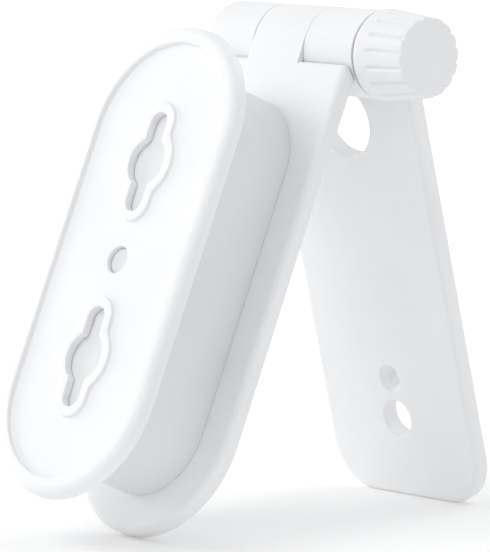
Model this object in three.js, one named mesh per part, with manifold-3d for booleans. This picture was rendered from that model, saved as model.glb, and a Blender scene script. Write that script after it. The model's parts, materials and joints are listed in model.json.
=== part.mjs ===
// Angle-adjustable hinged mounting bracket, standing open like an A-frame.
// A front leaf carries a spacer block and a flanged face plate with two double keyholes.
// A rear leaf carries the two outer knuckles, the hinge bolt and the clamping knob.
// Millimetres, +Z up, hinge axis along X, knob at +X, face plate towards -Y.
// Each leaf is drawn upright in its own group: x across, z up the leaf, y towards the back,
// with the hinge axis at y = 0, z = 0. The groups are then tilted about the hinge axis.

import * as THREE from "three";
import { mergeVertices } from "three/addons/utils/BufferGeometryUtils.js";
import Module from "manifold-3d";

const wasm = await Module();
wasm.setup();

// ---- driving dimensions ----
const FRONT_TILT = THREE.MathUtils.degToRad(23.5); // from upright, foot towards -Y
const REAR_TILT = THREE.MathUtils.degToRad(13.9); // from upright, foot towards +Y
const GAP = 0.3; // clearance between neighbouring pieces
const PAST = 1; // how far a cutting tool runs past the face it cuts

const LEAF_WIDTH = 48.5;
const EDGE_ROUND = 1.1;
const BARREL_RADIUS = 10;
const SHOULDER_DROP = 6; // hinge axis down to the shoulders beside a knuckle
const SHOULDER_CLEARANCE = 0.5; // round the neighbour's knuckles
const KNUCKLE_SPLIT = 8.5; // hinge centre to the middle of each seam
const SEAM = 0.4;

const FRONT_THICKNESS = 4.5;
const REAR_THICKNESS = 4.4;
const REAR_LENGTH = 111.1; // hinge axis to the foot
const REAR_CORNER = 11.5;
const CORE_DEPTH = 1.6; // hollowed back of each leaf
const CORE_RIM = 3.6;
const RIB = 1.8;
const FRONT_RIBS = [-41, -85, -105];
const REAR_RIBS = [-34, -66, -103];
const FRONT_CORE_TOP = -20;
const REAR_CORE_TOP = -12;

const PLATE_LENGTH = 110;
const PLATE_THICKNESS = 3.8;
const PLATE_ROUND = 1.7;
const PLATE_CENTRE = -63.1; // height of the middle of the plate, seen from the hinge axis
const PLATE_FRONT = 36.3; // hinge axis out to the rim of the plate
const PLATE_RECESS = 1.1;
const PLATE_RIM = 4.1;

const KEYHOLE_OFFSET = 22.8; // plate centre to each keyhole
const KEYHOLE_LENGTH = 23.2;
const KEYHOLE_SLOT = 5.3;
const KEYHOLE_CIRCLE = 11.4;
const LIP_WIDTH = 2.3;
const LIP_HEIGHT = 0.8;
const CENTRE_HOLE = 6.2;

const SPACER_INSET = 8; // inside the plate's outline
const SPACER_WALL = 2.4;
const SPACER_FACE = 2.6; // closed wall behind the plate
const POST_RADIUS = 3.6;
const SOCKET_WALL = 1.5; // round each boss of the plate
const BOSS_RADIUS = 3.2; // locates the plate in the spacer's sockets
const BOSS_LENGTH = 3.4;
const BOSS_BORE_COVER = 1; // left in front of each screw

const CLAMP_SCREW_X = 7.6;
const CLAMP_SCREW_Z = 36.8; // from the plate centre
const SPACER_SCREW_X = 9.4;
const SCREW_SHANK = 1.7;
const SCREW_HEAD = 3.2;
const SCREW_HEAD_TOP = 2.7;
const SCREW_HEAD_DEPTH = 2;
const SHORT_SCREW = 8; // shank length
const CROSS_ARM = 1.75;
const CROSS_HALF_WIDTH = 0.35;
const CROSS_DEPTH = 1.2;

const CABLE_HOLE = 17;
const CABLE_HOLE_DROP = 18.8;
const SCREW_HOLE = 3.8;
const COUNTERSINK = 7;
const SCREW_HOLE_DROP = 81.6;
const FIXING_HOLE = 9;
const FIXING_HOLE_DROP = 91.4;

const BOLT_RADIUS = 3;
const HEX_FLATS = 10;
const HEX_HEIGHT = 4;
const HEAD_SETBACK = 2.3; // end of the barrel to the bolt head
const CAP_RADIUS = 7.6;
const CAP_THICKNESS = 1.5;
const CAP_EDGE = 0.5;
const BUSH_RADIUS = 4.6;
const BUSH_FLANGE = 6.4;
const BUSH_FLANGE_THICKNESS = 1.2;
const FRICTION_WASHER_RADIUS = 7.2;
const FRICTION_WASHER_THICKNESS = 1;
const FLAT_WASHER_RADIUS = 6.6;
const FLAT_WASHER_THICKNESS = 1.2;
const SPRING_WASHER_RADIUS = 5.6;
const SPRING_WASHER_THICKNESS = 1.5;
const SPRING_WASHER_SLIT = 0.8;

const KNOB_GAP = 0.9; // end of the barrel to the knob
const KNOB_LENGTH = 13.9;
const KNOB_END_WALL = 3;
const KNOB_EDGE = 0.4;
const COLLAR_RADIUS = 10.35;
const COLLAR_LENGTH = 3.2;
const GRIP_BASE_RADIUS = 10;
const GRIP_END_RADIUS = 9.2;
const GROOVES = 16;
const GROOVE_POINTS = 6; // outline points for each groove and land
const GROOVE_DEPTH = 0.55;
const INSERT_RADIUS = 4.9;
const INSERT_LENGTH = 9.6;
const INSERT_FLANGE = 6.1;
const INSERT_FLANGE_THICKNESS = 1.2;

// ---- facets round a circle ----
const LARGE_ROUND = 40;
const MEDIUM_ROUND = 24;
const SMALL_ROUND = 16;
const END_ARC = 14; // half a circle at the end of a leaf, plate or spacer
const SLOT_ARC = 6;
const HEXAGON = 6;

// ---- derived places ----
const HALF_WIDTH = LEAF_WIDTH / 2;
const MIDDLE_END = KNUCKLE_SPLIT - SEAM / 2;
const OUTER_START = KNUCKLE_SPLIT + SEAM / 2;
const REAR_INNER = BARREL_RADIUS - REAR_THICKNESS;
const FRONT_INNER = BARREL_RADIUS - FRONT_THICKNESS;
const FRONT_LENGTH = frontLeafLength();

const PLATE_BACK = PLATE_FRONT - PLATE_THICKNESS;
const RECESS_FLOOR = PLATE_FRONT - PLATE_RECESS;
const BOSS_END = PLATE_BACK - BOSS_LENGTH;
const SPACER_BACK = BARREL_RADIUS + GAP;
const SPACER_FRONT = PLATE_BACK - GAP;

const BOLT_HEAD_START = HEAD_SETBACK - HALF_WIDTH;
const BOLT_HEAD_END = BOLT_HEAD_START + HEX_HEIGHT;
const FLAT_WASHER_START = HALF_WIDTH - FLAT_WASHER_THICKNESS - 2 * GAP;
const SPRING_WASHER_START = FLAT_WASHER_START + FLAT_WASHER_THICKNESS + GAP;
const SPRING_WASHER_END = SPRING_WASHER_START + SPRING_WASHER_THICKNESS;
const INSERT_START = SPRING_WASHER_END + GAP;
const KNOB_START = HALF_WIDTH + KNOB_GAP;
const KNOB_END = KNOB_START + KNOB_LENGTH;
const BOLT_END = KNOB_END - KNOB_END_WALL - PAST;

// The front leaf is just long enough for both feet to stand on the same floor.
function frontLeafLength() {
  const rearCorner = (REAR_LENGTH - EDGE_ROUND) * Math.cos(REAR_TILT);
  const rearDrop = rearCorner - (REAR_INNER + EDGE_ROUND) * Math.sin(REAR_TILT);
  const frontLift = (FRONT_INNER + EDGE_ROUND) * Math.sin(FRONT_TILT);
  return (rearDrop + frontLift) / Math.cos(FRONT_TILT) + EDGE_ROUND;
}

// ---- materials ----
function plastic(color, roughness) {
  return new THREE.MeshStandardMaterial({ color, roughness, metalness: 0 });
}

function metal(color, roughness) {
  return new THREE.MeshStandardMaterial({ color, roughness, metalness: 1 });
}

const whitePlastic = plastic(0xf3f3f4, 0.42);
const knobPlastic = plastic(0xeeeef0, 0.38);
const nylon = plastic(0xe2e0d8, 0.5);
const fibre = plastic(0x3a3a3c, 0.8);
const steel = metal(0xb9bcc0, 0.3);
const brass = metal(0xc9a24e, 0.3);

// ---- solids ----
function solidOf(geometry) {
  const bare = new THREE.BufferGeometry();
  bare.setAttribute("position", geometry.getAttribute("position"));
  bare.setIndex(geometry.index);
  const merged = mergeVertices(bare);
  return new wasm.Manifold(
    new wasm.Mesh({
      numProp: 3,
      vertProperties: merged.attributes.position.array,
      triVerts: new Uint32Array(merged.index.array),
    }),
  );
}

function geometryOf(solid) {
  const mesh = solid.getMesh();
  const geometry = new THREE.BufferGeometry();
  geometry.setAttribute("position", new THREE.BufferAttribute(mesh.vertProperties, 3));
  geometry.setIndex(new THREE.BufferAttribute(mesh.triVerts, 1));
  geometry.computeVertexNormals();
  return geometry;
}

const join = (...solids) => solids.reduce((all, next) => all.add(next));
const cut = (body, ...tools) => tools.reduce((rest, tool) => rest.subtract(tool), body);

function piece(name, solid, material) {
  const mesh = new THREE.Mesh(geometryOf(solid), material);
  mesh.name = name;
  return mesh;
}

// A round bar along X between two places, in either order.
function barX(radius, x0, x1, facets = LARGE_ROUND) {
  const geometry = new THREE.CylinderGeometry(radius, radius, Math.abs(x1 - x0), facets);
  return solidOf(geometry.rotateZ(-Math.PI / 2).translate((x0 + x1) / 2, 0, 0));
}

function ringX(outer, inner, x0, x1) {
  const way = Math.sign(x1 - x0) * PAST;
  return cut(barX(outer, x0, x1, MEDIUM_ROUND), barX(inner, x0 - way, x1 + way, MEDIUM_ROUND));
}

function hexBarX(flats, x0, x1) {
  return barX(flats / Math.sqrt(3), x0, x1, HEXAGON);
}

// A solid of revolution about X from [radius, x] pairs.
function turnedX(profile, facets) {
  const points = profile.map(([radius, x]) => new THREE.Vector2(radius, x));
  return solidOf(new THREE.LatheGeometry(points, facets).rotateZ(-Math.PI / 2));
}

// A round bar along Y through (x, z), from y0 to y1; it can taper to another radius at y1.
function barY(radius, x, z, y0, y1, facets = SMALL_ROUND, endRadius = radius) {
  const geometry = new THREE.CylinderGeometry(endRadius, radius, y1 - y0, facets);
  return solidOf(geometry.translate(x, (y0 + y1) / 2, z));
}

function boxAt(x0, x1, y0, y1, z0, z1) {
  const geometry = new THREE.BoxGeometry(Math.abs(x1 - x0), y1 - y0, z1 - z0);
  return solidOf(geometry.translate((x0 + x1) / 2, (y0 + y1) / 2, (z0 + z1) / 2));
}

// A slab of the outline, drawn in x and z, from y0 (front) to y1 (back), its edges eased by round.
function slab(outline, z, y0, y1, round = 0, curveSegments = END_ARC) {
  const geometry = new THREE.ExtrudeGeometry(outline, {
    depth: y1 - y0 - 2 * round,
    bevelEnabled: round > 0,
    bevelThickness: round,
    bevelSize: round,
    bevelOffset: -round,
    bevelSegments: 2,
    curveSegments,
  });
  return solidOf(geometry.rotateX(Math.PI / 2).translate(0, y1 - round, z));
}

function stadium(width, length) {
  const radius = width / 2;
  const straight = length / 2 - radius;
  const outline = new THREE.Shape();
  outline.absarc(0, straight, radius, 0, Math.PI);
  outline.absarc(0, -straight, radius, Math.PI, 2 * Math.PI);
  outline.closePath();
  return outline;
}

// The plate's outline, drawn in by inset all round.
const plateOutline = (inset) => stadium(LEAF_WIDTH - 2 * inset, PLATE_LENGTH - 2 * inset);

// A round hole with a slot above and below it, grown outwards by margin.
function keyhole(z, y0, y1, margin) {
  const slot = stadium(KEYHOLE_SLOT + 2 * margin, KEYHOLE_LENGTH + 2 * margin);
  const circle = barY(KEYHOLE_CIRCLE / 2 + margin, 0, z, y0, y1, MEDIUM_ROUND);
  return join(slab(slot, z, y0, y1, 0, SLOT_ARC), circle);
}

// ---- leaves ----
function frontOutline(inset) {
  const half = HALF_WIDTH - inset;
  const top = -SHOULDER_DROP - inset;
  const outline = new THREE.Shape();
  outline.moveTo(half, top);
  outline.lineTo(-half, top);
  outline.absarc(0, HALF_WIDTH - FRONT_LENGTH, half, Math.PI, 2 * Math.PI);
  outline.closePath();
  return outline;
}

function rearOutline(inset) {
  const half = HALF_WIDTH - inset;
  const top = -SHOULDER_DROP - inset;
  const side = HALF_WIDTH - REAR_CORNER;
  const low = REAR_CORNER - REAR_LENGTH;
  const outline = new THREE.Shape();
  outline.moveTo(half, top);
  outline.lineTo(-half, top);
  outline.absarc(-side, low, REAR_CORNER - inset, Math.PI, 1.5 * Math.PI);
  outline.absarc(side, low, REAR_CORNER - inset, 1.5 * Math.PI, 2 * Math.PI);
  outline.closePath();
  return outline;
}

const clampScrewPlaces = [-1, 1].flatMap((side) =>
  [1, -1].map((end) => [side * CLAMP_SCREW_X, PLATE_CENTRE + end * CLAMP_SCREW_Z]));
const spacerScrewPlaces = [-1, 1].map((side) => [side * SPACER_SCREW_X, PLATE_CENTRE]);
const screwPlaces = [...clampScrewPlaces, ...spacerScrewPlaces];

// The hollow in a leaf's hidden side, leaving its rim, ribs, spine and round bosses standing.
function core(outline, y0, y1, top, ribs, bosses) {
  const across = [-HALF_WIDTH, HALF_WIDTH, y0 - PAST, y1 + PAST];
  const hollow = slab(outline(CORE_RIM), 0, y0, y1);
  const ribBars = ribs.map((z) => boxAt(...across, z - RIB / 2, z + RIB / 2));
  const spine = boxAt(-RIB / 2, RIB / 2, y0 - PAST, y1 + PAST, -FRONT_LENGTH, 0);
  const solidTop = boxAt(...across, top, 0);
  const bossBars = bosses.map(([x, z, radius]) =>
    barY(radius + RIB, x, z, y0 - PAST, y1 + PAST, MEDIUM_ROUND));
  return cut(hollow, ...ribBars, spine, solidTop, ...bossBars);
}

const shoulderCut = (x0, x1) => barX(BARREL_RADIUS + SHOULDER_CLEARANCE, x0, x1);

function frontLeaf() {
  const blank = slab(frontOutline(0), 0, -BARREL_RADIUS, -FRONT_INNER, EDGE_ROUND);
  const plate = cut(blank, ...[-1, 1].map((side) =>
    shoulderCut(side * MIDDLE_END, side * (HALF_WIDTH + PAST))));
  const neck = boxAt(-MIDDLE_END, MIDDLE_END, -BARREL_RADIUS, -FRONT_INNER, -2 * SHOULDER_DROP, 0);
  const knuckle = barX(BARREL_RADIUS, -MIDDLE_END, MIDDLE_END);
  const hollow = core(frontOutline, -FRONT_INNER - CORE_DEPTH, -FRONT_INNER + PAST, FRONT_CORE_TOP,
    FRONT_RIBS, screwPlaces.map(([x, z]) => [x, z, SCREW_HEAD + GAP]));
  const screwBores = screwPlaces.map(([x, z]) =>
    barY(SCREW_SHANK + GAP, x, z, -BARREL_RADIUS - PAST, -FRONT_INNER + PAST));
  const headSeats = screwPlaces.map(([x, z]) =>
    barY(SCREW_HEAD + GAP, x, z, -FRONT_INNER - SCREW_HEAD_DEPTH - 2 * GAP, -FRONT_INNER + PAST));
  const bushBore = barX(BUSH_RADIUS + GAP, -HALF_WIDTH, HALF_WIDTH, MEDIUM_ROUND);
  const flangeSeats = [-1, 1].map((side) => {
    const seat = side * (MIDDLE_END - BUSH_FLANGE_THICKNESS - GAP);
    return barX(BUSH_FLANGE + GAP, seat, side * HALF_WIDTH, MEDIUM_ROUND);
  });
  return cut(join(plate, neck, knuckle), bushBore, ...flangeSeats, hollow, ...screwBores,
    ...headSeats);
}

function rearHoles() {
  const front = REAR_INNER - PAST;
  const back = BARREL_RADIUS + PAST;
  const sink = REAR_INNER + (COUNTERSINK - SCREW_HOLE) / 2;
  const mouth = COUNTERSINK / 2 + PAST;
  return [
    barY(CABLE_HOLE / 2, 0, -CABLE_HOLE_DROP, front, back, LARGE_ROUND),
    barY(SCREW_HOLE / 2, 0, -SCREW_HOLE_DROP, front, back),
    barY(mouth, 0, -SCREW_HOLE_DROP, front, sink, SMALL_ROUND, SCREW_HOLE / 2),
    barY(FIXING_HOLE / 2, 0, -FIXING_HOLE_DROP, front, back, MEDIUM_ROUND),
  ];
}

// The seats turned or moulded into the outer knuckles for the hinge hardware.
function rearSeats() {
  const frictionSeats = [-1, 1].map((side) => {
    const seat = side * (OUTER_START + FRICTION_WASHER_THICKNESS + GAP);
    return barX(FRICTION_WASHER_RADIUS + GAP, side * MIDDLE_END, seat, MEDIUM_ROUND);
  });
  const knobSide = barX(FLAT_WASHER_RADIUS + GAP, FLAT_WASHER_START - GAP, HALF_WIDTH + PAST,
    MEDIUM_ROUND);
  const capSide = barX(CAP_RADIUS + GAP, -HALF_WIDTH - PAST, BOLT_HEAD_START - GAP);
  const hexSide = hexBarX(HEX_FLATS + 2 * GAP, -HALF_WIDTH - PAST, BOLT_HEAD_END + GAP);
  const bore = barX(BOLT_RADIUS + GAP, -HALF_WIDTH - PAST, HALF_WIDTH + PAST, MEDIUM_ROUND);
  return [...frictionSeats, knobSide, capSide, hexSide, bore];
}

function rearLeaf() {
  const blank = slab(rearOutline(0), 0, REAR_INNER, BARREL_RADIUS, EDGE_ROUND, END_ARC / 2);
  const plate = cut(blank, shoulderCut(-OUTER_START, OUTER_START));
  const knuckles = [-1, 1].map((side) => {
    const [inner, outer] = [side * OUTER_START, side * HALF_WIDTH];
    const neck = boxAt(inner, outer, REAR_INNER, BARREL_RADIUS, -2 * SHOULDER_DROP, 0);
    return join(barX(BARREL_RADIUS, inner, outer), neck);
  });
  const hollow = core(rearOutline, BARREL_RADIUS - CORE_DEPTH, BARREL_RADIUS + PAST, REAR_CORE_TOP,
    REAR_RIBS, [
      [0, -CABLE_HOLE_DROP, CABLE_HOLE / 2],
      [0, -SCREW_HOLE_DROP, COUNTERSINK / 2],
      [0, -FIXING_HOLE_DROP, FIXING_HOLE / 2],
    ]);
  return cut(join(plate, ...knuckles), ...rearSeats(), hollow, ...rearHoles());
}

// ---- face side ----
function facePlate() {
  const flange = slab(plateOutline(0), PLATE_CENTRE, -PLATE_FRONT, -PLATE_BACK, PLATE_ROUND);
  const recess = slab(plateOutline(PLATE_RIM), PLATE_CENTRE, -PLATE_FRONT - PAST, -RECESS_FLOOR);
  const bosses = clampScrewPlaces.map(([x, z]) =>
    barY(BOSS_RADIUS, x, z, -PLATE_BACK - PAST, -BOSS_END));
  const keyholeHeights = [1, -1].map((side) => PLATE_CENTRE + side * KEYHOLE_OFFSET);
  const lips = keyholeHeights.map((z) =>
    keyhole(z, -RECESS_FLOOR - LIP_HEIGHT, -PLATE_BACK - PAST, LIP_WIDTH));
  const openings = keyholeHeights.map((z) =>
    keyhole(z, -PLATE_FRONT - PAST, -PLATE_BACK + PAST, 0));
  const screwBores = clampScrewPlaces.map(([x, z]) =>
    barY(SCREW_SHANK + GAP, x, z, BOSS_BORE_COVER - RECESS_FLOOR, -BOSS_END + PAST));
  const centreHole = barY(CENTRE_HOLE / 2, 0, PLATE_CENTRE, -PLATE_FRONT - PAST,
    -PLATE_BACK + PAST);
  return cut(join(cut(flange, recess), ...bosses, ...lips), ...openings, ...screwBores, centreHole);
}

// A deep cup with its closed face behind the plate and its mouth against the front leaf.
function spacerBlock() {
  const shell = cut(
    slab(plateOutline(SPACER_INSET), PLATE_CENTRE, -SPACER_FRONT, -SPACER_BACK),
    slab(plateOutline(SPACER_INSET + SPACER_WALL), PLATE_CENTRE, SPACER_FACE - SPACER_FRONT,
      -SPACER_BACK + PAST),
  );
  const socketRadius = BOSS_RADIUS + GAP;
  const clampPosts = clampScrewPlaces.map(([x, z]) =>
    barY(socketRadius + SOCKET_WALL, x, z, PAST - SPACER_FRONT, -SPACER_BACK, MEDIUM_ROUND));
  const spacerPosts = spacerScrewPlaces.map(([x, z]) =>
    barY(POST_RADIUS, x, z, PAST - SPACER_FRONT, -SPACER_BACK));
  const sockets = clampScrewPlaces.map(([x, z]) =>
    barY(socketRadius, x, z, -SPACER_FRONT - PAST, GAP - BOSS_END));
  const clampBores = clampScrewPlaces.map(([x, z]) =>
    barY(SCREW_SHANK + GAP, x, z, -SPACER_FRONT, -SPACER_BACK + PAST));
  const spacerBores = spacerScrewPlaces.map(([x, z]) =>
    barY(SCREW_SHANK + GAP, x, z, -SPACER_BACK - SHORT_SCREW, -SPACER_BACK + PAST));
  return cut(join(shell, ...clampPosts, ...spacerPosts), ...sockets, ...clampBores,
    ...spacerBores);
}

// A pan-head screw driven from the back of the front leaf, with a cross recess in its head.
function screw([x, z], shankLength) {
  const top = -FRONT_INNER - GAP;
  const seat = top - SCREW_HEAD_DEPTH;
  const head = barY(SCREW_HEAD, x, z, seat, top, SMALL_ROUND, SCREW_HEAD_TOP);
  const shank = barY(SCREW_SHANK, x, z, seat - shankLength, seat + GAP);
  const arms = [[CROSS_ARM, CROSS_HALF_WIDTH], [CROSS_HALF_WIDTH, CROSS_ARM]];
  const cross = arms.map(([width, height]) =>
    boxAt(x - width, x + width, top - CROSS_DEPTH, top + PAST, z - height, z + height));
  return cut(join(head, shank), ...cross);
}

// ---- hinge hardware ----
function hingeBolt() {
  const head = hexBarX(HEX_FLATS, BOLT_HEAD_START, BOLT_HEAD_END);
  return join(head, barX(BOLT_RADIUS, BOLT_HEAD_START + PAST, BOLT_END, MEDIUM_ROUND));
}

function boltCap() {
  return turnedX([
    [0, -HALF_WIDTH],
    [CAP_RADIUS - CAP_EDGE, -HALF_WIDTH],
    [CAP_RADIUS, CAP_EDGE - HALF_WIDTH],
    [CAP_RADIUS, CAP_THICKNESS - HALF_WIDTH],
    [0, CAP_THICKNESS - HALF_WIDTH],
  ], LARGE_ROUND);
}

function bush(side) {
  const end = side * MIDDLE_END;
  const sleeve = ringX(BUSH_RADIUS, BOLT_RADIUS + GAP, side * GAP, end);
  const flange = ringX(BUSH_FLANGE, BOLT_RADIUS + GAP, end - side * BUSH_FLANGE_THICKNESS, end);
  return join(sleeve, flange);
}

function washer(radius, start, end) {
  return ringX(radius, BOLT_RADIUS + GAP, start, end);
}

function frictionWasher(side) {
  return washer(FRICTION_WASHER_RADIUS, side * OUTER_START,
    side * (OUTER_START + FRICTION_WASHER_THICKNESS));
}

function springWasher() {
  const ring = washer(SPRING_WASHER_RADIUS, SPRING_WASHER_START, SPRING_WASHER_END);
  const slit = SPRING_WASHER_SLIT / 2;
  return cut(ring, boxAt(SPRING_WASHER_START - PAST, SPRING_WASHER_END + PAST, -slit, slit,
    0, SPRING_WASHER_RADIUS + PAST));
}

function knobInsert() {
  const barrel = barX(INSERT_RADIUS, INSERT_START, INSERT_START + INSERT_LENGTH, MEDIUM_ROUND);
  const flange = barX(INSERT_FLANGE, INSERT_START, INSERT_START + INSERT_FLANGE_THICKNESS,
    MEDIUM_ROUND);
  return cut(join(barrel, flange), barX(BOLT_RADIUS + GAP, HALF_WIDTH, KNOB_END, MEDIUM_ROUND));
}

// The grip's outline: narrow round grooves between broad lands.
function gripOutline() {
  const outline = new THREE.Shape();
  const points = GROOVES * GROOVE_POINTS;
  for (let i = 0; i < points; i += 1) {
    const turn = (2 * Math.PI * i) / points;
    const wave = Math.max(0, Math.cos(GROOVES * turn));
    const radius = GRIP_BASE_RADIUS - GROOVE_DEPTH * wave ** 2;
    const point = [radius * Math.cos(turn), radius * Math.sin(turn)];
    if (i === 0) outline.moveTo(...point);
    else outline.lineTo(...point);
  }
  outline.closePath();
  return outline;
}

function knobBody() {
  const collarEnd = KNOB_START + COLLAR_LENGTH;
  const collar = turnedX([
    [0, KNOB_START],
    [COLLAR_RADIUS - KNOB_EDGE, KNOB_START],
    [COLLAR_RADIUS, KNOB_START + KNOB_EDGE],
    [COLLAR_RADIUS, collarEnd - KNOB_EDGE],
    [GRIP_BASE_RADIUS, collarEnd],
    [0, collarEnd],
  ], LARGE_ROUND);
  const taper = turnedX([
    [0, KNOB_START + PAST],
    [GRIP_BASE_RADIUS, KNOB_START + PAST],
    [GRIP_END_RADIUS, KNOB_END - KNOB_EDGE],
    [GRIP_END_RADIUS - KNOB_EDGE, KNOB_END],
    [0, KNOB_END],
  ], LARGE_ROUND);
  const options = { depth: KNOB_LENGTH, bevelEnabled: false };
  const grooved = new THREE.ExtrudeGeometry(gripOutline(), options);
  const grip = taper.intersect(solidOf(grooved.rotateY(Math.PI / 2).translate(KNOB_START, 0, 0)));
  const flangeSeat = barX(INSERT_FLANGE + GAP, KNOB_START - PAST,
    INSERT_START + INSERT_FLANGE_THICKNESS + GAP, MEDIUM_ROUND);
  const socket = barX(INSERT_RADIUS + GAP, KNOB_START - PAST, KNOB_END - KNOB_END_WALL,
    MEDIUM_ROUND);
  return cut(join(collar, grip), flangeSeat, socket);
}

// ---- assembly ----
const CLAMP_SCREW = SPACER_FRONT - FRONT_INNER - SCREW_HEAD_DEPTH; // shank length

const frontSide = new THREE.Group();
frontSide.rotation.x = -FRONT_TILT;
frontSide.add(
  piece("front_leaf", frontLeaf(), whitePlastic),
  piece("spacer_block", spacerBlock(), whitePlastic),
  piece("face_plate", facePlate(), whitePlastic),
  piece("pivot_bush_left", bush(-1), nylon),
  piece("pivot_bush_right", bush(1), nylon),
);
clampScrewPlaces.forEach((place, i) => {
  frontSide.add(piece("clamp_screw_" + (i + 1), screw(place, CLAMP_SCREW), steel));
});
spacerScrewPlaces.forEach((place, i) => {
  frontSide.add(piece("spacer_screw_" + (i + 1), screw(place, SHORT_SCREW), steel));
});

const rearSide = new THREE.Group();
rearSide.rotation.x = REAR_TILT;
rearSide.add(
  piece("rear_leaf", rearLeaf(), whitePlastic),
  piece("hinge_bolt", hingeBolt(), steel),
  piece("bolt_cap", boltCap(), whitePlastic),
  piece("friction_washer_left", frictionWasher(-1), fibre),
  piece("friction_washer_right", frictionWasher(1), fibre),
  piece("flat_washer",
    washer(FLAT_WASHER_RADIUS, FLAT_WASHER_START, FLAT_WASHER_START + FLAT_WASHER_THICKNESS), steel),
  piece("spring_washer", springWasher(), steel),
  piece("knob_insert", knobInsert(), brass),
  piece("knob_body", knobBody(), knobPlastic),
);

const bracket = new THREE.Group();
bracket.add(frontSide, rearSide);

// The origin is at the bottom centre of the standing bracket.
bracket.updateMatrixWorld(true);
const bounds = new THREE.Box3().setFromObject(bracket, true);
const centre = bounds.getCenter(new THREE.Vector3());
bracket.position.set(-centre.x, -centre.y, -bounds.min.z);

const part = new THREE.Group();
part.add(bracket);

export default part;
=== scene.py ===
"""The looks of an angle-adjustable hinged mounting bracket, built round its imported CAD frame.

Each piece is drawn in millimetres in its own leaf's upright space: x across, z up the leaf,
y towards the back, with the hinge axis at y = 0, z = 0. It is then turned and moved into the
frame, where everything is in metres.
"""

import json
import math

import bmesh
import bpy
from mathutils import Matrix, Vector


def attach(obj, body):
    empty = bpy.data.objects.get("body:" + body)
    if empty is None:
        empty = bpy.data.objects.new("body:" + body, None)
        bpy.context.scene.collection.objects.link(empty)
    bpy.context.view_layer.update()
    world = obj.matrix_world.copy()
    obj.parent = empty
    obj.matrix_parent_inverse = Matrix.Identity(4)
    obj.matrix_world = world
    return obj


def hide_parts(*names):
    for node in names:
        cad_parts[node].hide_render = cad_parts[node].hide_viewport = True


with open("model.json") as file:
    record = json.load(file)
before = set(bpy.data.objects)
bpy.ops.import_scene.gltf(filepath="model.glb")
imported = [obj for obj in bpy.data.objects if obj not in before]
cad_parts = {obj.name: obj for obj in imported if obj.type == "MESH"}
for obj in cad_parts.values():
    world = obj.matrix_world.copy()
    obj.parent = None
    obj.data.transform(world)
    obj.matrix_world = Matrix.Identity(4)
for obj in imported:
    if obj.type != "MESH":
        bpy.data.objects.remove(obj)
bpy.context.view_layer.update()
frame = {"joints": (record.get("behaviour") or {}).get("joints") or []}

# ---- where the leaves stand ----
MM = 0.001
FRONT_TILT = math.radians(23.5)
REAR_TILT = math.radians(13.9)
PIVOT = Vector(next(j["pos_m"] for j in frame["joints"] if j["name"] == "leaf_fold"))
FRONT = Matrix.Translation(PIVOT) @ Matrix.Rotation(-FRONT_TILT, 4, "X") @ Matrix.Scale(MM, 4)
REAR = Matrix.Translation(PIVOT) @ Matrix.Rotation(REAR_TILT, 4, "X") @ Matrix.Scale(MM, 4)

# ---- leaves: every length below is in millimetres, up to the shading ----
SEAT_GAP = 0.3  # the gap between a seat or a bore and the part that sits in it
HALF_WIDTH = 24.25
BARREL_RADIUS = 10
EDGE_ROUND = 1.35
SHOULDER_DROP = 6
SHOULDER_CORNER = 1.6
SHOULDER_CLEARANCE = 0.5
LEFT_SEAM = (-8.7, -8.35)
RIGHT_SEAM = (8.4, 8.5)
SEAM_EASE = 0.12
END_EASE = 0.3
FRONT_INNER = 5.5
FRONT_LENGTH = 118.65
REAR_INNER = 5.6
REAR_LENGTH = 111.1
REAR_CORNER = 11.5
CORE_DEPTH = 1.6
CORE_RIM = 3.6
RIB = 1.8
FRONT_CORE_ROWS = (-20, -41, -85, -105)
REAR_CORE_ROWS = (-12, -34, -66, -103)
CABLE_HOLE = (-18.8, 8.5)
SCREW_HOLE = (-81.6, 1.9)
COUNTERSINK = 3.5
FIXING_HOLE = (-91.4, 4.5)

# ---- plate and spacer ----
PLATE_HALF_LENGTH = 55
PLATE_CENTRE = -63.1
PLATE_FRONT = -36.3
PLATE_BACK = -32.5
RECESS_FLOOR = -35.2
RIM = 4.1
KEYHOLE_OFFSET = 22.8
SLOT_HALF_LENGTH = 11.6
SLOT_RADIUS = 2.65
CIRCLE_RADIUS = 5.7
LIP_WIDTH = 2.3
LIP_HEIGHT = 0.8
CENTRE_HOLE = 3.1
SPACER_INSET = 8.1
SPACER_WALL = 2.4
SPACER_BACK = -10.02
SPACER_FRONT = -32.48
SPACER_FACE = 2.6
PAD_GAP = 0.1  # the pads behind the keyholes stand this far from the openings' walls
PAD_TOP = -34.1
POST_RADIUS = 3.6
CLAMP_POST_RADIUS = 5
BOSS_RADIUS = 3.2
BOSS_END = -29.1
BOSS_BORE_END = -34.2
SHORT_BORE_END = -18.3

# ---- screws ----
SCREW_BORE = 2
SCREW_RADIUS = 1.7
SCREW_PITCH = 1.1
SCREW_HEAD = 3.2
SCREW_HEAD_TOP = -5.8
SCREW_SEAT = -7.8
LONG_SCREW_END = -32.8
SHORT_SCREW_END = -15.8
HEAD_SEAT = (3.5, -8.1)
CLAMP_SCREWS = [(side * 7.6, PLATE_CENTRE + end * 36.8) for side in (-1, 1) for end in (1, -1)]
SPACER_SCREWS = [(side * 9.4, PLATE_CENTRE) for side in (-1, 1)]

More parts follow.
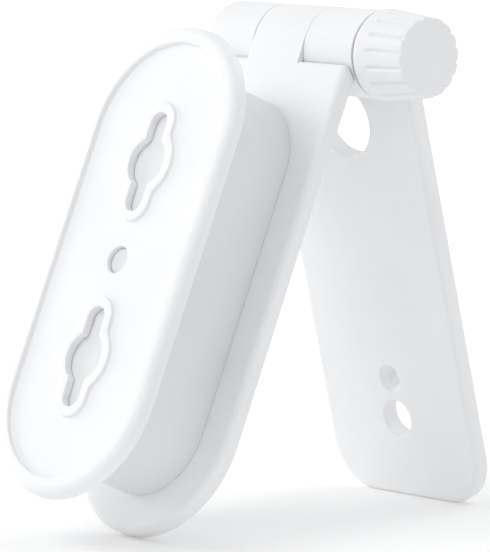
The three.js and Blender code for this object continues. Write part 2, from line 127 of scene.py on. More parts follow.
# ---- hinge hardware ----
BOLT_RADIUS = 3
BOLT_BORE = 3.3
BOLT_END = 35.05
THREAD_START = 25.4
THREAD_PITCH = 1
HEAD_FLATS = 10
HEAD_START = -21.95
HEAD_END = -17.95
CAP_RADIUS = 7.6
CAP_THICKNESS = 1.5
BUSH_RADIUS = 4.6
BUSH_FLANGE = 6.4
BUSH_FLANGE_THICKNESS = 1.2
BUSH_START = 0.3
BUSH_END = 8.3
FRICTION_WASHER = (7.2, 8.7, 9.7)
FLAT_WASHER = (6.6, 22.45, 23.65)
SPRING_WASHER = (5.6, 23.95, 25.45)
SPRING_SLIT = 0.8
INSERT_START = 25.75
INSERT_LENGTH = 9.6
INSERT_RADIUS = 4.9
INSERT_FLANGE = 6.1
INSERT_FLANGE_THICKNESS = 1.2
KNURLS = 30

# ---- knob ----
KNOB_START = 25.15
KNOB_END = 39.05
KNOB_EDGE = 0.4
COLLAR_RADIUS = 10.32
COLLAR_LENGTH = 1.2
GRIP_END_RADIUS = 9.05
GROOVES = 16
GROOVE_START = 28.6
GROOVE_RUN_IN = 0.9
GROOVE_HALF_WIDTH = math.radians(4.4)
GROOVE_DEPTH = 0.5
SOCKET_RADIUS = 5.2
SOCKET_END = 36.05
FLANGE_SEAT = (6.4, 27.25)

# ---- shading: faces that meet at more than this angle show a crisp edge ----
SHARP_ANGLE = math.radians(38)
PLASTIC_GLOW_THROUGH = 0.08
GLOW_THROUGH_REACH = 0.0012
SWELL_DEPTH = 0.00012
METAL_MARK_DEPTH = 0.00002

# ---- floor: its own glow, and the lift the camera sees near the bracket and far from it ----
FLOOR_HALF_SIZE = 6
FLOOR_GLOW = 0.17
FLOOR_LIFT_NEAR = 0.0
FLOOR_LIFT_FAR = 0.45
FLOOR_LIFT_START = 0.06
FLOOR_LIFT_END = 0.7

# ---- lights: round panels aimed at the bracket's middle ----
LIGHT_AIM = Vector((0, 0, 0.06))
LIGHT_DISTANCE = 1.2
LIGHT_SIZE = 0.7
SKY_COLOR = (0.98, 0.99, 1, 1)
SKY_STRENGTH = 0.7


# ---- mesh building ----
def add_object(name, bm):
    bmesh.ops.recalc_face_normals(bm, faces=bm.faces)
    mesh = bpy.data.meshes.new(name)
    bm.to_mesh(mesh)
    bm.free()
    obj = bpy.data.objects.new(name, mesh)
    bpy.context.scene.collection.objects.link(obj)
    return obj


def add_rings(bm, rings, closed=False):
    """Joins rings of the same number of points with quads and returns their vertices."""
    loops = [[bm.verts.new(point) for point in ring] for ring in rings]
    for low, high in zip(loops, loops[1:] + loops[:1] if closed else loops[1:]):
        for i in range(len(low)):
            j = (i + 1) % len(low)
            bm.faces.new((low[i], low[j], high[j], high[i]))
    return loops


def add_cap(bm, *loops):
    """Fills the flat region between an outer loop and any loops inside it."""
    edges = [
        bm.edges.get((loop[i - 1], loop[i])) or bm.edges.new((loop[i - 1], loop[i]))
        for loop in loops
        for i in range(len(loop))
    ]
    bmesh.ops.triangle_fill(bm, edges=edges, use_beauty=True)


def solid(name, rings, closed=False):
    """A closed body through a stack of rings, capped at both ends unless they close on themselves."""
    bm = bmesh.new()
    loops = add_rings(bm, rings, closed)
    if not closed:
        add_cap(bm, loops[0])
        add_cap(bm, loops[-1])
    return add_object(name, bm)


def arc(cx, cz, radius, start, end, steps):
    turns = [math.radians(start + (end - start) * i / steps) for i in range(steps + 1)]
    return [(cx + radius * math.cos(t), cz + radius * math.sin(t)) for t in turns]


def circle(radius, steps):
    return arc(0, 0, radius, 0, 360 - 360 / steps, steps - 1)


def with_sides(corners, steps):
    """A closed outline through the corner arcs, with extra points along its straight sides."""
    outline = []
    for k, corner in enumerate(corners):
        start, end = corner[-1], corners[(k + 1) % len(corners)][0]
        outline += corner
        outline += [
            tuple(a + (b - a) * i / steps for a, b in zip(start, end)) for i in range(1, steps)
        ]
    return outline


def plate_ring(inset, y):
    half, straight = HALF_WIDTH - inset, PLATE_HALF_LENGTH - HALF_WIDTH
    ends = [
        arc(0, PLATE_CENTRE + straight, half, 0, 180, 56),
        arc(0, PLATE_CENTRE - straight, half, 180, 360, 56),
    ]
    return [(x, y, z) for x, z in with_sides(ends, 24)]


def front_ring(inset, y):
    """The front leaf's outline: shoulders either side of the neck that carries its knuckle."""
    half, top, corner = HALF_WIDTH - inset, -SHOULDER_DROP - inset, SHOULDER_CORNER - inset
    left, right = LEFT_SEAM[1], RIGHT_SEAM[0]
    corners = [
        arc(half - corner, top - corner, corner, 0, 90, 6),
        [(right, top)], [(right, 0)], [(left, 0)], [(left, top)],
        arc(corner - half, top - corner, corner, 90, 180, 6),
        arc(0, HALF_WIDTH - FRONT_LENGTH, half, 180, 360, 80),
    ]
    return [(x, y, z) for x, z in with_sides(corners, 8)]


def rear_ring(inset, y):
    """The rear leaf's outline: a notch for the front leaf's knuckle between its two necks."""
    half, top = HALF_WIDTH - inset, -SHOULDER_DROP - inset
    side, low, radius = HALF_WIDTH - REAR_CORNER, REAR_CORNER - REAR_LENGTH, REAR_CORNER - inset
    corners = [
        [(half, 0)], [(RIGHT_SEAM[1], 0)], [(RIGHT_SEAM[1], top)],
        [(LEFT_SEAM[0], top)], [(LEFT_SEAM[0], 0)], [(-half, 0)],
        arc(-side, low, radius, 180, 270, 28),
        arc(side, low, radius, 270, 360, 28),
    ]
    return [(x, y, z) for x, z in with_sides(corners, 8)]


def quarter(radius, steps=6):
    """(along, across) pairs round a quarter circle, from (0, radius) to (radius, 0)."""
    turns = [math.pi / 2 * i / steps for i in range(steps + 1)]
    return [(radius * (1 - math.cos(t)), radius * (1 - math.sin(t))) for t in turns]


def rounded(y0, y1, front_round, back_round, steps=6):
    """(inset, y) pairs from the front face to the back face, round both edges."""
    front = [(across, y0 + along) for along, across in quarter(front_round, steps)]
    back = [(across, y1 - along) for along, across in quarter(back_round, steps)]
    return front + back[::-1]


def slab(name, ring, y0, y1, front_round, back_round):
    return solid(name, [ring(*pair) for pair in rounded(y0, y1, front_round, back_round)])


def rings_along(profile, steps, along):
    """Circles along X or Y from (place, radius) pairs."""
    rings = []
    for place, radius in profile:
        points = circle(radius, steps)
        rings.append([(place, a, b) if along == "X" else (a, place, b) for a, b in points])
    return rings


def turned(name, profile, steps=96, along="X", closed=False, at=(0, 0)):
    """A body of revolution about X, or about a line along Y through (x, z) = at."""
    obj = solid(name, rings_along(profile, steps, along), closed)
    obj.data.transform(Matrix.Translation((at[0], 0, at[1])))
    return obj


def tube(name, x0, x1, outer, inner, ease, steps=96):
    """A ring or sleeve about X with eased edges."""
    outside = [(x0 + along, outer - across) for along, across in quarter(ease, 4)]
    outside += [(x1 - along, outer - across) for along, across in quarter(ease, 4)[::-1]]
    inside = [(x1 - along, inner + across) for along, across in quarter(ease, 4)]
    inside += [(x0 + along, inner + across) for along, across in quarter(ease, 4)[::-1]]
    return turned(name, outside + inside, steps, closed=True)


def mouth(place, radius, way, ease=0.25):
    """The end of a bore that breaks out of a face, way being the way out, with an eased edge."""
    edge = [(place - way * along, radius + across) for along, across in quarter(ease, 4)]
    points = [(place + 0.4 * way, radius + ease), *edge]
    return points if way < 0 else points[::-1]


def blind(place, radius, way, ease=0.2):
    """The closed end of a bore, way being the way further in, with a small fillet."""
    points = [(place - way * along, radius - across) for along, across in quarter(ease, 3)]
    return points if way < 0 else points[::-1]


def bake(obj):
    """Makes the object's modifiers part of its mesh."""
    evaluated = obj.evaluated_get(bpy.context.evaluated_depsgraph_get())
    baked = bpy.data.meshes.new_from_object(evaluated)
    obj.modifiers.clear()
    obj.data = baked


def combine(obj, operation, tools):
    for tool in tools:
        step = obj.modifiers.new("combine", "BOOLEAN")
        step.object = tool
        step.operation = operation
        step.solver = "MANIFOLD"
        bake(obj)
        bpy.data.objects.remove(tool)


def join(obj, tools):
    combine(obj, "UNION", tools)


def cut(obj, tools):
    combine(obj, "DIFFERENCE", tools)


def place(obj, space, body, slot, *nodes, shade=None):
    """Moves a finished piece from its leaf's space into the frame, to ride and be seen there.

    slot is the record's material slot; shade names a darker copy of it, painted shade, for a piece that
    stands in shade.
    """
    obj.data.transform(space)
    for polygon in obj.data.polygons:
        polygon.use_smooth = True
    obj.data.set_sharp_from_angle(angle=SHARP_ANGLE)
    shading = obj.modifiers.new("shading", "WEIGHTED_NORMAL")
    shading.keep_sharp = True
    obj.data.materials.clear()
    obj.data.materials.append(MATERIALS[shade or slot])
    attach(obj, body)
    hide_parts(*nodes)


# ---- outlines drawn as a radius for each turn about a point ----
def even_turns(radius_at, count, bend_weight=8.0):
    """Turns whose points sit close where the outline bends and further apart where it is straight."""
    fine = 1440
    turns = [2 * math.pi * i / fine for i in range(fine)]
    points = [Vector((math.sin(t), math.cos(t))) * radius_at(t) for t in turns]
    reach = [0.0]
    for i in range(fine):
        behind, ahead = points[i] - points[i - 1], points[(i + 1) % fine] - points[i]
        reach.append(reach[-1] + ahead.length + bend_weight * behind.angle(ahead))
    chosen, at = [], 0
    for k in range(count):
        wanted = reach[-1] * k / count
        while reach[at + 1] <= wanted:
            at += 1
        share = (wanted - reach[at]) / (reach[at + 1] - reach[at])
        chosen.append(2 * math.pi * (at + share) / fine)
    return chosen


def polar_ring(radius_at, turns, y, centre, side=1):
    """The outline's points at height y about centre, mirrored across x = 0 when side is -1."""
    points = [(radius_at(t) * math.sin(t), radius_at(t) * math.cos(t)) for t in turns]
    return [(side * (centre[0] + x), y, centre[1] + z) for x, z in points]


def keyhole_radius(turn, grow):
    """A circle blended into an upright slot, grown outwards by grow."""
    across, along = abs(math.sin(turn)), abs(math.cos(turn))
    width = SLOT_RADIUS + grow
    end = SLOT_HALF_LENGTH - SLOT_RADIUS
    if along * width > across * end:
        slot = end * along + math.sqrt(max(width**2 - (end * across) ** 2, 0))
    else:
        slot = width / across
    round_part = CIRCLE_RADIUS + grow
    blend = 0.5 + 0.35 * grow
    mix = max(blend - abs(slot - round_part), 0) / blend
    return max(slot, round_part) + blend * mix**2 / 4


def soft_least(values, blend):
    """The least of the values, rounded off where two are nearly equal."""
    least = values[0]
    for value in values[1:]:
        mix = max(blend - abs(least - value), 0) / blend
        least = min(least, value) - blend * mix**2 / 4
    return least


# ---- materials ----
def new_material(name, color, roughness, metallic=0.0):
    material = bpy.data.materials.new(name)
    material.use_nodes = True
    shader = material.node_tree.nodes["Principled BSDF"]
    shader.inputs["Base Color"].default_value = (*color, 1)
    shader.inputs["Roughness"].default_value = roughness
    shader.inputs["Metallic"].default_value = metallic
    return material, shader


def noise(tree, scale, detail=2.0, stretch=(1, 1, 1)):
    position = tree.nodes.new("ShaderNodeTexCoord")
    mapping = tree.nodes.new("ShaderNodeMapping")
    mapping.inputs["Scale"].default_value = stretch
    texture = tree.nodes.new("ShaderNodeTexNoise")
    texture.inputs["Scale"].default_value = scale
    texture.inputs["Detail"].default_value = detail
    tree.links.new(position.outputs["Object"], mapping.inputs["Vector"])
    tree.links.new(mapping.outputs["Vector"], texture.inputs["Vector"])
    return texture.outputs["Fac"]


def spread(tree, value, low, high):
    """Turns a noise value into a number between low and high."""
    node = tree.nodes.new("ShaderNodeMapRange")
    node.inputs["From Min"].default_value = 0.3
    node.inputs["From Max"].default_value = 0.7
    node.inputs["To Min"].default_value = low
    node.inputs["To Max"].default_value = high
    tree.links.new(value, node.inputs["Value"])
    return node.outputs["Result"]


def tint(tree, value, dark, light):
    node = tree.nodes.new("ShaderNodeMix")
    node.data_type = "RGBA"
    node.inputs["A"].default_value = (*dark, 1)
    node.inputs["B"].default_value = (*light, 1)
    tree.links.new(value, node.inputs["Factor"])
    return node.outputs["Result"]


def bumps(tree, layers):
    """Stacks bump layers, each (height, depth in metres), and returns the last normal."""
    normal = None
    for height, depth in layers:
        node = tree.nodes.new("ShaderNodeBump")
        node.inputs["Distance"].default_value = depth
        tree.links.new(height, node.inputs["Height"])
        if normal:
            tree.links.new(normal, node.inputs["Normal"])
        normal = node.outputs["Normal"]
    return normal


def moulded(name, dark, light, rough, grain_depth, glow_through=0.0):
    """Moulded plastic: slow shade changes, uneven gloss, a fine spark-eroded grain."""
    material, shader = new_material(name, light, rough[0])
    tree = material.node_tree
    clouds = spread(tree, noise(tree, 45, 3), 0, 1)
    tree.links.new(tint(tree, clouds, dark, light), shader.inputs["Base Color"])
    tree.links.new(spread(tree, noise(tree, 260, 4), *rough), shader.inputs["Roughness"])
    layers = [(noise(tree, 90, 1), SWELL_DEPTH), (noise(tree, 5200, 3), grain_depth)]
    tree.links.new(bumps(tree, layers), shader.inputs["Normal"])
    shader.inputs["Subsurface Weight"].default_value = glow_through
    shader.inputs["Subsurface Radius"].default_value = (1, 0.95, 0.9)
    shader.inputs["Subsurface Scale"].default_value = GLOW_THROUGH_REACH
    return material


def metal(name, dark, light, rough, stretch):
    """Turned or plated metal with fine marks along one way."""
    material, shader = new_material(name, light, rough[0], 1.0)
    tree = material.node_tree
    marks = noise(tree, 900, 4, stretch)
    clouds = spread(tree, noise(tree, 300, 3), 0, 1)
    tree.links.new(tint(tree, clouds, dark, light), shader.inputs["Base Color"])
    tree.links.new(spread(tree, marks, *rough), shader.inputs["Roughness"])
    tree.links.new(bumps(tree, [(marks, METAL_MARK_DEPTH)]), shader.inputs["Normal"])
    return material


MATERIALS = {
    "white_plastic": moulded(
        "white_plastic", (0.87, 0.872, 0.88), (0.9, 0.902, 0.91), (0.4, 0.52), 0.000012,
        PLASTIC_GLOW_THROUGH),
    # the spacer's copy of the white plastic is darker: painted shade for its shaded side and the floors
    # of the keyholes
    "spacer_plastic_painted_shade": moulded(
        "spacer_plastic_painted_shade", (0.785, 0.788, 0.798), (0.819, 0.822, 0.832), (0.4, 0.52), 0.000012,
        PLASTIC_GLOW_THROUGH),
    "knob_plastic": moulded(
        "knob_plastic", (0.86, 0.862, 0.872), (0.89, 0.892, 0.902), (0.36, 0.46), 0.000008,
        PLASTIC_GLOW_THROUGH),
    "nylon": moulded("nylon", (0.74, 0.72, 0.65), (0.8, 0.78, 0.72), (0.34, 0.46), 0.000006, 0.2),
    "fibre": moulded("fibre", (0.06, 0.06, 0.062), (0.12, 0.12, 0.125), (0.7, 0.9), 0.00005),
    "steel": metal("steel", (0.52, 0.53, 0.55), (0.68, 0.69, 0.71), (0.24, 0.42), (1, 6, 1)),
    "brass": metal("brass", (0.7, 0.52, 0.24), (0.82, 0.66, 0.36), (0.22, 0.38), (6, 1, 1)),
}


# ---- face plate ----
def face_plate():
    bm = bmesh.new()
    wall = [
        (RIM + 0.45, RECESS_FLOOR), (RIM + 0.2, RECESS_FLOOR - 0.03),
        (RIM + 0.06, RECESS_FLOOR - 0.13), (RIM + 0.02, RECESS_FLOOR - 0.3),
        (RIM, PLATE_FRONT + 0.25), (RIM - 0.05, PLATE_FRONT + 0.1),
        (RIM - 0.14, PLATE_FRONT + 0.02), (RIM - 0.3, PLATE_FRONT),
    ]
    edge = rounded(PLATE_FRONT, PLATE_BACK, 2.2, 0.9, 10)
    outer = add_rings(bm, [plate_ring(*pair) for pair in wall + edge])
    top = RECESS_FLOOR - LIP_HEIGHT
    lip = [
        (LIP_WIDTH + 0.4, RECESS_FLOOR), (LIP_WIDTH + 0.15, RECESS_FLOOR - 0.04),
        (LIP_WIDTH + 0.03, RECESS_FLOOR - 0.16), (LIP_WIDTH, RECESS_FLOOR - 0.32),
        (LIP_WIDTH - 0.02, top + 0.22), (LIP_WIDTH - 0.09, top + 0.07),
        (LIP_WIDTH - 0.25, top), (0.22, top), (0.07, top + 0.06), (0.0, top + 0.2),
        (-0.02, -33.5), (-0.02, PLATE_BACK - 0.1), (0.08, PLATE_BACK),
    ]
    turns = even_turns(lambda turn: keyhole_radius(turn, LIP_WIDTH / 2), 200, 4.0)
    keyholes = []
    for side in (1, -1):
        centre = (0, PLATE_CENTRE + side * KEYHOLE_OFFSET)
        rings = [
            polar_ring(lambda turn: keyhole_radius(turn, grow), turns, y, centre) for grow, y in lip
        ]
        keyholes.append(add_rings(bm, rings))
    hole = [
        (CENTRE_HOLE + 0.3, RECESS_FLOOR), (CENTRE_HOLE + 0.1, RECESS_FLOOR + 0.08),
        (CENTRE_HOLE, RECESS_FLOOR + 0.28), (CENTRE_HOLE, PLATE_BACK),
    ]
    centre = add_rings(bm, [[(x, y, z + PLATE_CENTRE) for x, z in circle(r, 96)] for r, y in hole])
    add_cap(bm, outer[0], *(loops[0] for loops in keyholes), centre[0])
    add_cap(bm, outer[-1], *(loops[-1] for loops in keyholes), centre[-1])
    plate = add_object("face_plate_moulding", bm)
    foot = BOSS_RADIUS + 0.3
    boss = [(PLATE_BACK - 0.5, foot), (PLATE_BACK, foot)]
    boss += [(PLATE_BACK + 0.1, BOSS_RADIUS + 0.1), (PLATE_BACK + 0.35, BOSS_RADIUS)]
    boss += blind(BOSS_END, BOSS_RADIUS, 1)
    join(plate, [turned("tool", boss, 64, "Y", at=spot) for spot in CLAMP_SCREWS])
    bore = blind(BOSS_BORE_END, SCREW_BORE, -1) + mouth(BOSS_END, SCREW_BORE, 1, 0.2)
    cut(plate, [turned("tool", bore, 48, "Y", at=spot) for spot in CLAMP_SCREWS])
    place(plate, FRONT, "front_leaf", "white_plastic", "face_plate")


# ---- spacer ----
def keyhole_pads():
    """Raised floors on the spacer's face that leave the plate's openings shallow."""
    turns = even_turns(lambda turn: keyhole_radius(turn, -PAD_GAP), 120, 4.0)
    steps = [(-PAD_GAP, SPACER_FRONT + 1), (-PAD_GAP, PAD_TOP + 0.12), (-PAD_GAP - 0.12, PAD_TOP)]
    pads = []
    for side in (1, -1):
        centre = (0, PLATE_CENTRE + side * KEYHOLE_OFFSET)
        rings = [
            polar_ring(lambda turn: keyhole_radius(turn, grow), turns, y, centre)
            for grow, y in steps
        ]
        pads.append(solid("tool", rings))
    centre_pad = [(y, CENTRE_HOLE + grow) for grow, y in steps]
    return pads + [turned("tool", centre_pad, 48, "Y", at=(0, PLATE_CENTRE))]


def spacer_block():
    inner = SPACER_INSET + SPACER_WALL
    floor_level = SPACER_FRONT + SPACER_FACE
    shell = [(SPACER_INSET + across, SPACER_FRONT + along) for along, across in quarter(0.4, 4)]
    back_edge = quarter(0.12, 4)[::-1]
    shell += [(SPACER_INSET + across, SPACER_BACK - along) for along, across in back_edge]
    shell += [(inner - across, SPACER_BACK - along) for along, across in quarter(0.3, 3)]
    shell += [(inner + across, floor_level + along) for along, across in quarter(0.7, 4)[::-1]]
    spacer = solid("spacer_moulding", [plate_ring(*pair) for pair in shell])
    start = SPACER_FRONT + 1
    posts = []
    for spots, radius in ((CLAMP_SCREWS, CLAMP_POST_RADIUS), (SPACER_SCREWS, POST_RADIUS)):
        post = [(start, radius + 0.6), (floor_level, radius + 0.6), (floor_level + 0.18, radius + 0.18)]
        post += [(floor_level + 0.6, radius), *blind(SPACER_BACK - 0.02, radius, 1)]
        posts += [turned("tool", post, 64, "Y", at=spot) for spot in spots]
    join(spacer, posts + keyhole_pads())
    seat = BOSS_RADIUS + SEAT_GAP
    socket = mouth(SPACER_FRONT, seat, -1) + blind(BOSS_END + SEAT_GAP, seat, 1)
    long_bore = [(BOSS_END, SCREW_BORE), *mouth(SPACER_BACK - 0.02, SCREW_BORE, 1)]
    short_bore = blind(SHORT_BORE_END, SCREW_BORE, -1) + mouth(SPACER_BACK - 0.02, SCREW_BORE, 1)
    cut(spacer, [turned("tool", socket, 64, "Y", at=spot) for spot in CLAMP_SCREWS])
    bores = [turned("tool", long_bore, 48, "Y", at=spot) for spot in CLAMP_SCREWS]
    bores += [turned("tool", short_bore, 48, "Y", at=spot) for spot in SPACER_SCREWS]
    cut(spacer, bores)
    # the spacer wears the darker copy of the white plastic, painted shade for its side and the keyhole
    # floors
    place(spacer, FRONT, "front_leaf", "white_plastic", "spacer_block", shade="spacer_plastic_painted_shade")


# ---- leaves ----
def barrel(x0, x1, ease):
    ends = [(x0 + along, BARREL_RADIUS - across) for along, across in quarter(ease, 3)]
    ends += [(x1 - along, BARREL_RADIUS - across) for along, across in quarter(ease, 3)[::-1]]
    return turned("tool", ends, 160)


def rim_distance(x, z, radius, side, low):
    """How far inside a leaf's rim a point is; the rim's corners have that radius about (side, low)."""
    return radius - math.hypot(max(x - side, 0), min(z - low, 0))


def pockets(rows, end, face, way, corner):
    """Tools for the hollows of a leaf's hidden side, two between each rib and the next.

    end is the lowest z of the last row, face the hidden side's y and way its way out; corner
    gives the radius and place of the rim's round corners.
    """
    depth = [(-0.3, face + 0.4 * way)]
    depth += [(-across, face - way * along) for along, across in quarter(0.3, 4)]
    fillet = quarter(0.45, 4)[::-1]
    depth += [(0.04 + across, face - way * (CORE_DEPTH - along)) for along, across in fillet]
    tools = []
    for k, row in enumerate(rows):
        upper = row - (RIB / 2 if k else 0)
        lower = rows[k + 1] + RIB / 2 if k + 1 < len(rows) else end
        centre = (corner[3], (upper + lower) / 2)

        def level(x, z):
            walls = [x - RIB / 2, upper - z, z - lower, rim_distance(x, z, *corner[:3])]
            return soft_least(walls, 1.6)

        def radius_at(turn, inset=0.0):
            near, far = 0.0, 60.0
            for _ in range(22):
                middle = (near + far) / 2
                x, z = centre[0] + middle * math.sin(turn), centre[1] + middle * math.cos(turn)
                near, far = (middle, far) if level(x, z) > inset else (near, middle)
            return near

        turns = even_turns(radius_at, 150)
        for side in (-1, 1):
            rings = [
                polar_ring(lambda turn: radius_at(turn, inset), turns, y, centre, side)
                for inset, y in depth
            ]
            tools.append(solid("tool", rings))
    return tools


def bosses(spots, face, way):
    """Round bosses standing up from the hollows to just under the hidden face."""
    root = face - way * CORE_DEPTH
    made = []
    for x, z, radius in spots:
        profile = [(root - 0.4 * way, radius + 0.4), (root, radius + 0.4)]
        profile += [(root + 0.12 * way, radius + 0.12), (root + 0.4 * way, radius)]
        edge = quarter(0.3, 4)[::-1]
        profile += [(face - way * (0.02 + along), radius - across) for along, across in edge]
        made.append(turned("tool", profile, 80, "Y", at=(x, z)))
    return made


def front_leaf():
    faces = (-BARREL_RADIUS, -FRONT_INNER)
    leaf = slab("front_leaf_moulding", front_ring, *faces, EDGE_ROUND, EDGE_ROUND)
    relief = BARREL_RADIUS + SHOULDER_CLEARANCE
    sides = ((-HALF_WIDTH - 1, LEFT_SEAM[1]), (RIGHT_SEAM[0], HALF_WIDTH + 1))
    cut(leaf, [turned("tool", [(x0, relief), (x1, relief)]) for x0, x1 in sides])
    join(leaf, [barrel(LEFT_SEAM[1], RIGHT_SEAM[0], SEAM_EASE)])
    rim = (HALF_WIDTH - CORE_RIM, 0, HALF_WIDTH - FRONT_LENGTH, 9)
    end = CORE_RIM - FRONT_LENGTH
    cut(leaf, pockets(FRONT_CORE_ROWS, end, -FRONT_INNER, 1, rim))
    screws = CLAMP_SCREWS + SPACER_SCREWS
    join(leaf, bosses([(x, z, HEAD_SEAT[0] + RIB) for x, z in screws], -FRONT_INNER, 1))
    seat = blind(HEAD_SEAT[1], HEAD_SEAT[0], -1) + mouth(-FRONT_INNER - 0.02, HEAD_SEAT[0], 1)
    bore = mouth(-BARREL_RADIUS, SCREW_BORE, -1) + [(HEAD_SEAT[1] + 1, SCREW_BORE)]
    cut(leaf, [turned("tool", seat, 64, "Y", at=spot) for spot in screws])
    cut(leaf, [turned("tool", bore, 48, "Y", at=spot) for spot in screws])
    ends = (LEFT_SEAM[1], RIGHT_SEAM[0])
    sleeve_bore, flange = BUSH_RADIUS + SEAT_GAP, BUSH_FLANGE + SEAT_GAP
    sleeve = mouth(ends[0] + 1, sleeve_bore, -1) + mouth(ends[1] - 1, sleeve_bore, 1)
    cut(leaf, [turned("tool", sleeve)])
    depth = BUSH_FLANGE_THICKNESS + SEAT_GAP
    left_seat = mouth(ends[0], flange, -1) + blind(ends[0] + depth, flange, 1)
    right_seat = blind(ends[1] - depth, flange, -1) + mouth(ends[1], flange, 1)
    cut(leaf, [turned("tool", left_seat), turned("tool", right_seat)])
    place(leaf, FRONT, "front_leaf", "white_plastic", "front_leaf")


def hexagon(flats, steps=8):
    """A hexagon's points about X, with extra points along its sides."""
    corners = circle(flats / math.sqrt(3), 6)
    return with_sides([[corner] for corner in corners], steps)


def rear_leaf():
    leaf = slab("rear_leaf_moulding", rear_ring, REAR_INNER, BARREL_RADIUS, EDGE_ROUND, EDGE_ROUND)
    relief = BARREL_RADIUS + SHOULDER_CLEARANCE
    cut(leaf, [turned("tool", [(LEFT_SEAM[0], relief), (RIGHT_SEAM[1], relief)])])
    knuckles = [
        barrel(-HALF_WIDTH, LEFT_SEAM[0], END_EASE),
        barrel(RIGHT_SEAM[1], HALF_WIDTH, SEAM_EASE),
    ]
    join(leaf, knuckles)
    corner = (REAR_CORNER - CORE_RIM, HALF_WIDTH - REAR_CORNER, REAR_CORNER - REAR_LENGTH, 11)
    cut(leaf, pockets(REAR_CORE_ROWS, CORE_RIM - REAR_LENGTH, BARREL_RADIUS, 1, corner))
    round_holes = [CABLE_HOLE, (SCREW_HOLE[0], COUNTERSINK), FIXING_HOLE]
    join(leaf, bosses([(0, z, radius + RIB) for z, radius in round_holes], BARREL_RADIUS, 1))
    back = BARREL_RADIUS - 0.02
    tools = []
    for z, radius in (CABLE_HOLE, FIXING_HOLE):
        through = mouth(REAR_INNER, radius, -1, 0.3) + mouth(back, radius, 1, 0.3)
        tools.append(turned("tool", through, 112, "Y", at=(0, z)))
    sink = COUNTERSINK - SCREW_HOLE[1]
    screw_hole = [(REAR_INNER - 0.5, COUNTERSINK), (REAR_INNER, COUNTERSINK)]
    screw_hole += [(REAR_INNER + sink, SCREW_HOLE[1]), *mouth(back, SCREW_HOLE[1], 1)]
    tools.append(turned("tool", screw_hole, 72, "Y", at=(0, SCREW_HOLE[0])))
    cut(leaf, tools)
    radius, start, end = FRICTION_WASHER
    friction, seat = radius + SEAT_GAP, end + SEAT_GAP
    cut(leaf, [
        turned("tool", blind(-seat, friction, -1) + mouth(LEFT_SEAM[0], friction, 1)),
        turned("tool", mouth(RIGHT_SEAM[1], friction, -1) + blind(seat, friction, 1)),
    ])
    washer, washer_seat = FLAT_WASHER[0] + SEAT_GAP, FLAT_WASHER[1] - SEAT_GAP
    cap, cap_seat = CAP_RADIUS + SEAT_GAP, HEAD_START - SEAT_GAP
    cut(leaf, [
        turned("tool", blind(washer_seat, washer, -1) + mouth(HALF_WIDTH, washer, 1)),
        turned("tool", mouth(-HALF_WIDTH, cap, -1) + blind(cap_seat, cap, 1)),
    ])
    outline = hexagon(HEAD_FLATS + 2 * SEAT_GAP)
    ends = (cap_seat - 0.5, HEAD_END + SEAT_GAP)
    cut(leaf, [solid("tool", [[(x, y, z) for y, z in outline] for x in ends])])
    cut(leaf, [turned("tool", [(-HALF_WIDTH, BOLT_BORE), (HALF_WIDTH, BOLT_BORE)])])
    place(leaf, REAR, "rear_leaf", "white_plastic", "rear_leaf")


# ---- screws ----
def threaded(start, end, radius, pitch, depth, along, steps=48):
    """Rings of a screw thread between two places, fading out at its start."""
    rows = int((end - start) / pitch * 10)
    rings = []
    for k in range(rows + 1):
        place_on = start + (end - start) * k / rows
        fade = min((place_on - start) / pitch, 1)
        ring = []
        for i in range(steps):
            wave = ((place_on - start) / pitch - i / steps) % 1
            crest = 1 - min(abs(2 * wave - 1) * 1.4, 1)
            reach = radius - depth * (1 - crest) * fade
            turn = 2 * math.pi * i / steps
            a, b = reach * math.cos(turn), reach * math.sin(turn)
            ring.append((place_on, a, b) if along == "X" else (a, place_on, b))
        rings.append(ring)
    return rings


def screw(name, node, spot, end):
    """A pan-head screw driven towards -Y, with a cross recess and a coarse thread."""
    head = [(SCREW_SEAT, SCREW_HEAD - 0.1), (SCREW_SEAT + 0.1, SCREW_HEAD)]
    height = SCREW_HEAD_TOP - SCREW_SEAT
    for k in range(8):
        turn = math.radians(90 * (k + 1) / 8.6)
        level = SCREW_SEAT + height * (0.3 + 0.7 * math.sin(turn))
        head.append((level, SCREW_HEAD * (0.35 + 0.65 * math.cos(turn))))
    head = [(SCREW_SEAT - 0.3, SCREW_RADIUS), (SCREW_SEAT, SCREW_RADIUS + 0.15)] + head
    shank = threaded(-SCREW_SEAT + 1.2, -end - 2.2, SCREW_RADIUS, SCREW_PITCH, 0.4, "Y")
    shank = [[(x, -y, z) for x, y, z in ring] for ring in shank][::-1]
    tip = rings_along([(end, 0.25), (end + 0.3, 0.55)], 48, "Y")
    rings = tip + shank + rings_along(head, 48, "Y")
    obj = solid(name, rings)
    arms = []
    for wide, high in ((1.7, 0.34), (0.34, 1.7)):
        deep, shallow = SCREW_HEAD_TOP - 1.2, SCREW_HEAD_TOP + 0.3
        top = [(-wide, -high), (wide, -high), (wide, high), (-wide, high)]
        low = [(x * 0.62, z * 0.7) for x, z in top]
        arms.append(solid("tool", [[(x, deep, z) for x, z in low], [(x, shallow, z) for x, z in top]]))
    cut(obj, arms)
    obj.data.transform(Matrix.Translation((spot[0], 0, spot[1])))
    place(obj, FRONT, "front_leaf", "steel", node)


